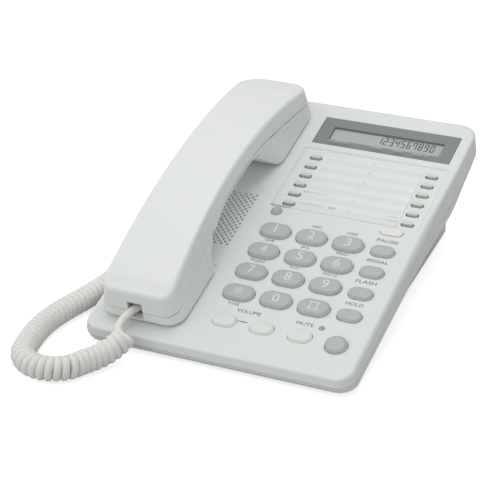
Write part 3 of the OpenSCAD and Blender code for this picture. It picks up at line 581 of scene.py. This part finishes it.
# The mesh without the space inside a box
def carved(bm, size, centre):
    low = bpy.data.meshes.new("carving")
    bm.to_mesh(low)
    bm.free()
    block = bmesh.new()
    bmesh.ops.create_cube(block, size=1.0, matrix=Matrix.Translation(centre) @ Matrix.Diagonal((*size, 1)))
    cutter = bpy.data.meshes.new("cutter")
    block.to_mesh(cutter)
    block.free()
    whole, tool = bpy.data.objects.new("carving", low), bpy.data.objects.new("cutter", cutter)
    for item in (whole, tool):
        bpy.context.scene.collection.objects.link(item)
    cut = whole.modifiers.new("cut", "BOOLEAN")
    cut.object = tool
    cut.operation = "DIFFERENCE"
    cut.solver = "EXACT"
    bpy.context.view_layer.update()
    result = bpy.data.meshes.new_from_object(whole.evaluated_get(bpy.context.evaluated_depsgraph_get()))
    out = bmesh.new()
    out.from_mesh(result)
    for item in (whole, tool):
        bpy.data.objects.remove(item)
    for mesh in (low, cutter, result):
        bpy.data.meshes.remove(mesh)
    return out


# Casing: the skins that show, one above the seam and one below it
def footAt(y):
    return along(shell["underside"], y)


# Up from the seam, round the top edge, in over the flat top and down again behind the wall
def upperLevels(y, nx, ny):
    flat, radius, atSeam, atFoot = wallAt(y, nx, ny)
    edge = max(along(shell["seam"], y) + shell["gap"] / 2, footAt(y) + shell["upperLeast"])
    lip, strip, proud = shell["lip"], shell["strip"], shell["proud"]
    levels = [(edge, atSeam + lip), (edge + lip, atSeam)]
    for i in range(shell["edgeSteps"] + 1):
        a = math.radians(shell["edgeFrom"] + (90 - shell["edgeFrom"]) * i / shell["edgeSteps"])
        levels.append((radius * (math.sin(a) - 1) + proud, flat - radius * math.cos(a)))
    return levels + [(proud, strip), (-shell["stripDown"], strip + shell["stripIn"]),
                     (edge, atSeam + shell["upperWall"])]


# Up from the underside to the seam and down again behind the wall, lower where the wall is low
def lowerLevels(y, nx, ny):
    flat, radius, atSeam, atFoot = wallAt(y, nx, ny)
    edge = max(along(shell["seam"], y) - shell["gap"] / 2, footAt(y) + shell["lowerLeast"])
    foot = footAt(y) - shell["below"]
    tall, lip = edge - foot, shell["lip"]
    levels = [(foot + min(up, share * tall), atFoot + inset) for up, share, inset in shell["footRim"]]
    return levels + [(edge - min(lip, shell["lipShare"] * tall), atSeam), (edge, atSeam + lip),
                     (edge, atSeam + shell["lowerWall"]), (foot, atFoot + shell["footWall"])]


outline = halfOutline(face["width"] / 2, 0.0, face["length"], shell["corner"], shell["corner"], 8.0, 10)
for name, levelsAt in (("upperCaseSkin", upperLevels), ("lowerCaseSkin", lowerLevels)):
    bm = skinOver(ringsRound(outline, levelsAt, 0.0), hollow=True)
    for size, centre in casing["ports"]:
        bm = carved(bm, size, centre)
    bm.transform(faceMatrix)
    newPiece(name, bm, materials["case_plastic"], "base", flat=True)


# The step down to the card field, all round it
def fieldLevels(y, nx, ny):
    return [(edge["top"], -edge["over"]), (edge["floor"], edge["slope"]),
            (edge["bottom"], edge["slope"]), (edge["bottom"], -edge["over"])]


edge = casing["fieldEdge"]
outline = halfOutline(edge["width"] / 2, edge["y"] - edge["length"] / 2, edge["y"] + edge["length"] / 2,
                      edge["corner"], edge["corner"], 20.0, 4)
bm = skinOver(ringsRound(outline, fieldLevels, edge["x"]), hollow=True)
bm.transform(faceMatrix)
newPiece("cardFieldEdge", bm, materials["case_plastic"], "base", flat=True)
print("casing skins made")

# Handset: two halves with an open line between them, arched over the finger gap
handset = {
    "middle": -46.5, "half": 24.5, "front": 13.3, "rear": 218.0, "foot": 0.3,
    "crownAt": 109.0, "crown": 35.6, "backRadius": 307.5, "frontRadius": 10.0, "rearRadius": 17.0,
    "lean": 0.17, "frontLean": 0.08,
    "rearCurve": 0.012, "rearCurveFrom": 9.0,   # the rear end draws in as it rises above that height
    "ridge": 1.8, "frontRidge": 2.8, "frontRidgeTo": 75.0, "frontRidgeOver": 50.0, "ridgeSteps": 5,
    "groove": 0.45, "gap": 0.22,
    # the line between the halves: distance from the front end, height
    "parting": [(-15, 2.8), (0, 6.6), (15, 10.4), (23, 12.4), (31, 13.9), (39, 15.1), (47, 16.5), (54, 18.3),
                (60, 20.4), (66, 22.6), (73, 24.4), (81, 25.6), (90, 26.2), (100, 26.5), (112, 26.2),
                (119, 25.6), (126, 24.9), (134, 23.7), (142, 22.1), (150, 20.1), (162, 17.2), (174, 14.2),
                (183, 12.1), (191, 10.1), (199, 7.6), (220, 1.7)],
    # the arch over the finger gap, on the face
    "arch": [(45, 10.3), (61.6, 10.4), (63.2, 10.5), (68.2, 15.0), (74.5, 19.4), (80, 21.3), (86.2, 22.5),
             (95, 23.5), (104, 24.1), (113, 24.3), (122, 24.1), (129, 23.6), (133, 22.7), (138, 21.2),
             (146, 19.8), (155, 17.6)],
    # up from the foot or the arch, and in from the wall
    "footRim": ((0.0, 2.4), (0.9, 2.2), (1.1, 0.5), (1.7, 0.0)),
    "archRim": ((0.0, 2.2), (0.6, 0.65), (2.2, 0.0)),
    "mouthBlock": {"end": 61.6, "radius": 3.0, "lean": -0.16},
    "earBlock": {"end": 157.5, "radius": 4.5, "lean": -1.02},
    "neckIn": 0.03,                             # keeps the neck's walls from lying in the blocks' walls
    "port": {"x": -47.5, "z": 7.8, "size": (8.6, 16.0, 10.0)},
    "pads": {"size": (35.4, 32.4, 4.0), "corner": 8.0, "at": (39.8, 186.0), "z": -0.7},
}


def partingAt(y):
    return along(handset["parting"], y - handset["front"])


def backAt(y):
    return (handset["crown"] - handset["backRadius"]
            + math.sqrt(handset["backRadius"] ** 2 - (y - handset["crownAt"]) ** 2))


# Radius of the edge between the back and the walls
def ridgeAt(y):
    t = between((handset["frontRidgeTo"] - y) / handset["frontRidgeOver"], 0, 1)
    return handset["ridge"] + (handset["frontRidge"] - handset["ridge"]) * t * t * (3 - 2 * t)


# Skin over an outline; a level is (height at y, inset at y) and the walls lean as they rise
def shellSkin(outline, levels, leanFront, leanRear):
    rings = []
    for heightAt, insetBy in levels:
        right = []
        for x, y, nx, ny in outline:
            z = heightAt(y)
            leanY = leanFront(z) if ny < 0 else leanRear(z)
            right.append((x - nx * (handset["lean"] * z + insetBy(y)), y - ny * (leanY + insetBy(y)), z))
        rings.append(mirroredRing(right, handset["middle"]))
    return skinOver(rings)


def rearLean(z):
    return handset["rearCurve"] * max(z - handset["rearCurveFrom"], 0) ** 2


def frontLean(z):
    return handset["frontLean"] * z


# Levels that start at a height and draw in by a rim's steps
def rimLevels(heightAt, rim):
    return [(lambda y, up=up: heightAt(y) + up, lambda y, inset=inset: inset) for up, inset in rim]


port = handset["port"]
portCentre = (port["x"], handset["front"], port["z"])
gap, groove = handset["gap"], handset["groove"]
half, front, rear = handset["half"], handset["front"], handset["rear"]

outline = halfOutline(half, front, rear, handset["frontRadius"], handset["rearRadius"])
levels = rimLevels(partingAt, ((gap, groove), (gap + groove, 0.0)))
for i in range(handset["ridgeSteps"] + 1):
    a = math.radians(90 * i / handset["ridgeSteps"])
    levels.append((lambda y, a=a: backAt(y) + ridgeAt(y) * (math.sin(a) - 1),
                   lambda y, a=a: ridgeAt(y) * (1 - math.cos(a))))
bm = carved(shellSkin(outline, levels, frontLean, rearLean), port["size"], portCentre)
bm.transform(faceMatrix)
newPiece("handsetBackShell", bm, materials["handset_plastic"], "handset", ("handset_outer_shell",), 40,
         flat=True)

# the inner half: mouth block, ear block and the neck between them
topLevels = rimLevels(partingAt, ((-gap - groove, 0.0), (-gap, groove)))
blockLevels = rimLevels(lambda y: handset["foot"], handset["footRim"]) + topLevels
mouth, ear = handset["mouthBlock"], handset["earBlock"]
outline = halfOutline(half, front, mouth["end"], handset["frontRadius"], mouth["radius"])
mouthSkin = shellSkin(outline, blockLevels, frontLean, lambda z: mouth["lean"] * z)
bm = carved(mouthSkin, port["size"], portCentre)
outline = halfOutline(half, ear["end"], rear, ear["radius"], handset["rearRadius"])
join(bm, shellSkin(outline, blockLevels, lambda z: ear["lean"] * z, rearLean))
outline = [(half - handset["neckIn"], y, 1, 0) for y, z in handset["arch"]]
neckLevels = rimLevels(lambda y: along(handset["arch"], y), handset["archRim"]) + topLevels
join(bm, shellSkin(outline, neckLevels, frontLean, frontLean))
bm.transform(faceMatrix)
pads = handset["pads"]
for y in pads["at"]:
    addBlock(bm, pads["size"], (handset["middle"], y, pads["z"]), corner=pads["corner"], segments=6)
newPiece("handsetInnerShell", bm, materials["handset_plastic"], "handset", ("handset_inner_shell",), 40,
         flat=True)
print("handset shells made")

# Buttons: a rounded rim and a slightly domed top
buttons = {
    "dial": {"rim": 0.75, "dome": 0.16},
    "small": {"rim": 0.55, "dome": 0.1},
    "soft": {"rim": 0.8, "dome": 0.12},
    "round": {"rim": 1.0, "dome": 0.2},
    "memory": {"size": (6.5, 2.5, 2.4), "top": 0.55, "up": 0.2, "rim": 0.6},
    "crown": ((0.5, 0.35), (1.2, 0.4), (1.6, 0.25)),   # the dome's steps: in, by the rim; up, by the dome
}
dialKeys = ["key_" + name for name in ("1", "2", "3", "4", "5", "6", "7", "8", "9", "star", "0", "hash")]
buttonNodes = {
    "dial": dialKeys,
    "small": ["pause_button", "redial_button", "flash_button", "hold_button"],
    "soft": ["volume_down_button", "volume_up_button", "mute_button"],
    "round": ["speaker_button", "program_button"],
}
memoryNodes = ["memory_button_" + str(i) for i in range(1, 13)]


def domedCap(node, rim, dome):
    bm = merged(node)
    bm.transform(faceInverse)
    bm.normal_update()
    top = max(v.co.z for v in bm.verts)
    topEdges = [e for e in bm.edges if min(v.co.z for v in e.verts) > top - 0.01 and isSharp(e, 40)]
    bevelled(bm, topEdges, rim, 4)
    bm.normal_update()
    for inset, lift in buttons["crown"]:
        crown = [f for f in bm.faces if f.normal.z > 0.9 and f.calc_center_median().z > top - 0.01]
        largest = max(crown, key=lambda f: f.calc_area())
        bmesh.ops.inset_region(bm, faces=[largest], thickness=inset * rim, depth=lift * dome,
                               use_even_offset=True)
        bm.normal_update()
    bm.transform(faceMatrix)
    return newPiece(node + "Cap", bm, materials[slotOf[node]], bodyOf[node], (node,), 50, flat=True)


for kind, held in buttonNodes.items():
    for node in held:
        domedCap(node, buttons[kind]["rim"], buttons[kind]["dome"])
pill = buttons["memory"]
for node in memoryNodes:
    at = middleOf(node)
    bm = bmesh.new()
    addBlock(bm, pill["size"], (at.x, at.y + pill["up"], pill["top"] - pill["size"][2] / 2),
             corner=pill["size"][1] * 0.49, segments=6, rim=pill["rim"])
    newPiece(node + "Cap", bm, materials[slotOf[node]], bodyOf[node], (node,), 50, flat=True)
print("button caps made")

# Lettering
greyInk = printedInk("darkGreyPadPrint", "#4A4D50", "#515457")
paleInk = printedInk("paleBluePadPrint", "#DCE3E8", "#D5DCE1")
bezelInk = printedInk("paleGreyPadPrint", "#B9BDBE", "#B2B6B7")
cardInk = printedInk("greyOffsetInk", "#A9ABB4", "#B1B3BB")
stripeInk = printedInk("lightGreyOffsetTint", "#E3E6E7", "#DFE2E3")
cellInk = printedInk("darkenedLiquidCrystal", "#4C5255", "#54595C")
letter = {"capHeight": 0.682, "thickness": 0.04, "curveSteps": 3, "bar": 0.06}


# A line of lettering as a thin closed slab on the face, its capitals and its whole width as given
def addLettering(bm, text, x, y, z, height, width=None, weight=0.0, lean=0.0):
    curve = bpy.data.curves.new("lettering", "FONT")
    curve.body = text
    curve.extrude = 0.5
    curve.offset = weight
    curve.resolution_u = letter["curveSteps"]
    holder = bpy.data.objects.new("lettering", curve)
    bpy.context.scene.collection.objects.link(holder)
    bpy.context.view_layer.update()
    mesh = bpy.data.meshes.new_from_object(holder.evaluated_get(bpy.context.evaluated_depsgraph_get()))
    bpy.data.objects.remove(holder)
    bpy.data.curves.remove(curve)
    low = min(v.co.x for v in mesh.vertices)
    high = max(v.co.x for v in mesh.vertices)
    tall = height / letter["capHeight"]
    wide = width / (high - low) if width else tall
    mesh.transform(
        faceMatrix @ Matrix.Translation((x, y, z)) @ leant(lean)
        @ Matrix.Diagonal((wide, tall, letter["thickness"], 1))
        @ Matrix.Translation((-(low + high) / 2, -letter["capHeight"] / 2, 0))
    )
    bm.from_mesh(mesh)
    bpy.data.meshes.remove(mesh)


def addBar(bm, size, centre, **shape):
    addBlock(bm, (*size, letter["bar"]), centre, **shape)


def letteringPiece(name, bm, material, body):
    bmesh.ops.remove_doubles(bm, verts=bm.verts, dist=0.0005 * mm)
    newPiece(name, bm, material, body)


keyMarks = {
    "height": 6.4, "top": 2.18, "weight": 0.004, "lean": -0.06, "width": 3.9,
    "starBar": (0.55, 6.2), "starTurns": (0.5, 45.5, 90.5, 135.5),
    "hashUpright": (0.6, 6.6), "hashAcross": (6.2, 0.6), "uprightAt": 2.1, "acrossAt": 2.2,
}
for node in dialKeys:
    bm = bmesh.new()
    at = middleOf(node)
    mark = node.split("_")[1]
    top, lean = keyMarks["top"], keyMarks["lean"]
    if mark == "star":
        for turn in keyMarks["starTurns"]:
            addBar(bm, keyMarks["starBar"], (at.x, at.y, top), turn=turn)
    elif mark == "hash":
        for side in (-1, 1):
            addBar(bm, keyMarks["hashUpright"], (at.x + side * keyMarks["uprightAt"], at.y, top), lean=lean)
            addBar(bm, keyMarks["hashAcross"], (at.x, at.y + side * keyMarks["acrossAt"], top + 0.01),
                   lean=lean)
    else:
        width = None if mark == "1" else keyMarks["width"]
        addLettering(bm, mark, at.x, at.y, top, keyMarks["height"], width, keyMarks["weight"], lean)
    letteringPiece(node + "Mark", bm, paleInk, bodyOf[node])

# text, x, y, width
caseLabels = {
    1.7: [("PROGRAM", -9.4, 123.3, 12.2)],   # by the height of their capitals
    1.9: [("ABC", 17.4, 111.6, 6.2), ("DEF", 38.8, 111.2, 6.0), ("GHI", -4.2, 94.0, 5.2),
          ("JKL", 17.4, 93.8, 5.4), ("MNO", 38.9, 93.9, 7.0), ("PQRS", -3.8, 76.3, 8.2),
          ("TUV", 17.5, 76.5, 5.9), ("WXYZ", 38.2, 76.4, 8.6), ("TONE", -3.3, 41.0, 6.8)],
    2.4: [("VOLUME", 7.5, 37.1, 13.8), ("MUTE", 39.3, 37.0, 9.6), ("PAUSE", 59.3, 110.4, 12.2),
          ("REDIAL", 59.5, 93.3, 12.2), ("FLASH", 59.2, 76.0, 11.8), ("HOLD", 59.1, 58.2, 10.0)],
}
volumeDash = {"size": (5.1, 0.6), "at": (7.1, 29.4)}
bm = bmesh.new()
for height, labels in caseLabels.items():
    for text, x, y, width in labels:
        addLettering(bm, text, x, y, 0.0, height, width)
addBar(bm, volumeDash["size"], (*volumeDash["at"], 0.0))
letteringPiece("caseLabels", bm, greyInk, "base")

bezelLabels = {
    "y": 185.6, "top": 1.6, "height": 1.3, "weight": 0.01,
    "texts": [("STORE", 0.0, 8.4), ("LOCK", 7.1, 4.6), ("SPEED", 26.4, 7.4), ("TIMER", 39.2, 6.0),
              ("RINGER OFF", 53.3, 9.8)],
}
bm = bmesh.new()
for text, x, width in bezelLabels["texts"]:
    addLettering(bm, text, x, bezelLabels["y"], bezelLabels["top"], bezelLabels["height"], width,
                 bezelLabels["weight"])
letteringPiece("bezelLabels", bm, bezelInk, "base")
print("lettering made")

# Display: seven-segment digits, set from the right
display = {"right": 58.0, "bottom": 193.2, "height": 6.7, "width": 2.55, "pitch": 3.58, "stroke": 0.68,
           "top": -1.6, "digits": "1234567890"}
segmentsOf = {"0": "abcdef", "1": "bc", "2": "abdeg", "3": "abcdg", "4": "bcfg", "5": "acdfg",
              "6": "acdefg", "7": "abcf", "8": "abcdefg", "9": "abcdfg"}
bm = bmesh.new()
w, h, s = display["width"], display["height"], display["stroke"]
barAt = {"a": (w / 2, h - s / 2), "g": (w / 2, h / 2), "d": (w / 2, s / 2),
         "f": (s / 2, 0.75 * h - s / 4), "b": (w - s / 2, 0.75 * h - s / 4),
         "e": (s / 2, 0.25 * h + s / 4), "c": (w - s / 2, 0.25 * h + s / 4)}
for i, digit in enumerate(reversed(display["digits"])):
    left = display["right"] - i * display["pitch"] - w
    for segment in segmentsOf[digit]:
        x, y = barAt[segment]
        size = (w - s * 0.5, s) if segment in "agd" else (s, h / 2 - s * 0.75)
        addBar(bm, size, (left + x, display["bottom"] + y, display["top"]), corner=s * 0.42)
letteringPiece("displayDigits", bm, cellInk, "base")
print("display made")

# Index card: pale rows parted by grey stripes, a small tick in each row
card = {
    "centre": 29.4, "width": 59.0, "top": -0.5, "rows": 6, "pitch": 8.6,
    "firstStripe": 169.7, "stripe": 3.9, "stripeThickness": 0.02, "firstTick": 172.9, "tick": (0.5, 1.8),
    # text, x, y, cap height, width, weight
    "print": [("EMERGENCY", 6.2, 139.6, 1.3, 15.6, 0.0), ("EXTENSION", 7.6, 129.6, 1.5, 14.0, 0.0),
              ("00", 19.3, 129.5, 1.9, 4.4, 0.02), ("LOWER", 54.6, 131.2, 1.2, 6.6, 0.0),
              ("UPPER", 54.8, 127.9, 1.2, 7.2, 0.0)],
}
stripes, marks = bmesh.new(), bmesh.new()
for row in range(card["rows"]):
    down = row * card["pitch"]
    addBlock(stripes, (card["width"], card["stripe"], card["stripeThickness"]),
             (card["centre"], card["firstStripe"] - down, card["top"]))
    addBar(marks, card["tick"], (card["centre"], card["firstTick"] - down, card["top"]))
for text, x, y, height, width, weight in card["print"]:
    addLettering(marks, text, x, y, card["top"], height, width, weight)
letteringPiece("cardStripes", stripes, stripeInk, "base")
letteringPiece("cardPrint", marks, cardInk, "base")
print("card made")

# Lamps: the milky oblong lens as its node, the small round one smoked
lamps = {"edge": 0.15, "smokedAt": (48.9, 36.5), "smokedWithin": 5.0}
smokedLens = mouldedPlastic("smokedLampPolystyrene", "#A6A8A9", "#A0A2A3", roughness=0.3)
lenses = softened("indicator_lenses", lamps["edge"])
lenses.data.materials.append(smokedLens)
for polygon in lenses.data.polygons:
    at = faceInverse @ polygon.center
    if math.dist((at.x, at.y), lamps["smokedAt"]) < lamps["smokedWithin"]:
        polygon.material_index = 1
print("lamps made")

# The small tab in the cradle
tab ={"size": (1.2, 4.6, 1.6), "at": (-25.2, 68.8), "corner": 0.4, "rim": 0.3}
bm = bmesh.new()
addBlock(bm, tab["size"], (*tab["at"], 0.0), corner=tab["corner"], segments=3, rim=tab["rim"])
newPiece("cradleTab", bm, materials["case_plastic"], "base")
print("cradle tab made")

# Matt pale paint: it keeps the phone's shadow and glows towards the camera alone,
# up to the backdrop's white
floor = {"size": 6.0, "drop": 0.2, "colour": "#D6D6D6", "roughness": 0.9, "glow": 0.7}
floorMaterial, tree, shader, place = newMaterial("paintedFloor")
shader.inputs["Base Color"].default_value = linear(floor["colour"])
shader.inputs["Roughness"].default_value = floor["roughness"]
rays = addNode(tree, "ShaderNodeLightPath")
glow = addNode(tree, "ShaderNodeMath", {1: floor["glow"]}, {0: rays.outputs["Is Camera Ray"]},
               operation="MULTIPLY")
tree.links.new(glow.outputs["Value"], shader.inputs["Emission Strength"])
shader.inputs["Emission Color"].default_value = linear("#FFFFFF")
bm = bmesh.new()
bmesh.ops.create_grid(bm, x_segments=1, y_segments=1, size=floor["size"] / 2,
                      matrix=Matrix.Translation((0, 0, -floor["drop"] * mm)))
floorPiece = newPiece("floor", bm, floorMaterial, None)
floorPiece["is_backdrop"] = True

# A white studio, brighter on the left and in front than on the right and behind
studio = {"strength": 0.6, "towardsRight": -0.34, "towardsRear": -0.22}
world = bpy.data.worlds.new("paleStudio")
bpy.context.scene.world = world
world.use_nodes = True
tree = world.node_tree
background = tree.nodes["Background"]
background.inputs["Color"].default_value = linear("#FFFFFF")
rays = addNode(tree, "ShaderNodeLightPath")
upward = addNode(tree, "ShaderNodeTexCoord")
direction = addNode(tree, "ShaderNodeSeparateXYZ", {}, {"Vector": upward.outputs["Generated"]})
across = addNode(tree, "ShaderNodeMath", {1: studio["towardsRight"], 2: studio["strength"]},
                 {0: direction.outputs["X"]}, operation="MULTIPLY_ADD")
around = addNode(tree, "ShaderNodeMath", {1: studio["towardsRear"]},
                 {0: direction.outputs["Y"], 2: across.outputs["Value"]}, operation="MULTIPLY_ADD")
strength = addNode(tree, "ShaderNodeMath", {},
                   {0: around.outputs["Value"], 1: rays.outputs["Is Camera Ray"]}, operation="MAXIMUM")
tree.links.new(strength.outputs["Value"], background.inputs["Strength"])

# One soft box above the phone and aimed at it
softBox = {"at": (0.15, 0.1, 1.4), "side": 1.0, "power": 7.0}
lamp = bpy.data.lights.new("keySoftBox", "AREA")
lamp.shape = "SQUARE"
lamp.size = softBox["side"]
lamp.energy = softBox["power"]
lampObject = bpy.data.objects.new("keySoftBox", lamp)
lampObject.location = softBox["at"]
lampObject.rotation_euler = (-Vector(softBox["at"])).to_track_quat("-Z", "Y").to_euler()
bpy.context.scene.collection.objects.link(lampObject)
lampObject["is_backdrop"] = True
print("stage lit")

size = {"cad": cadBox, "visual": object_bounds()}
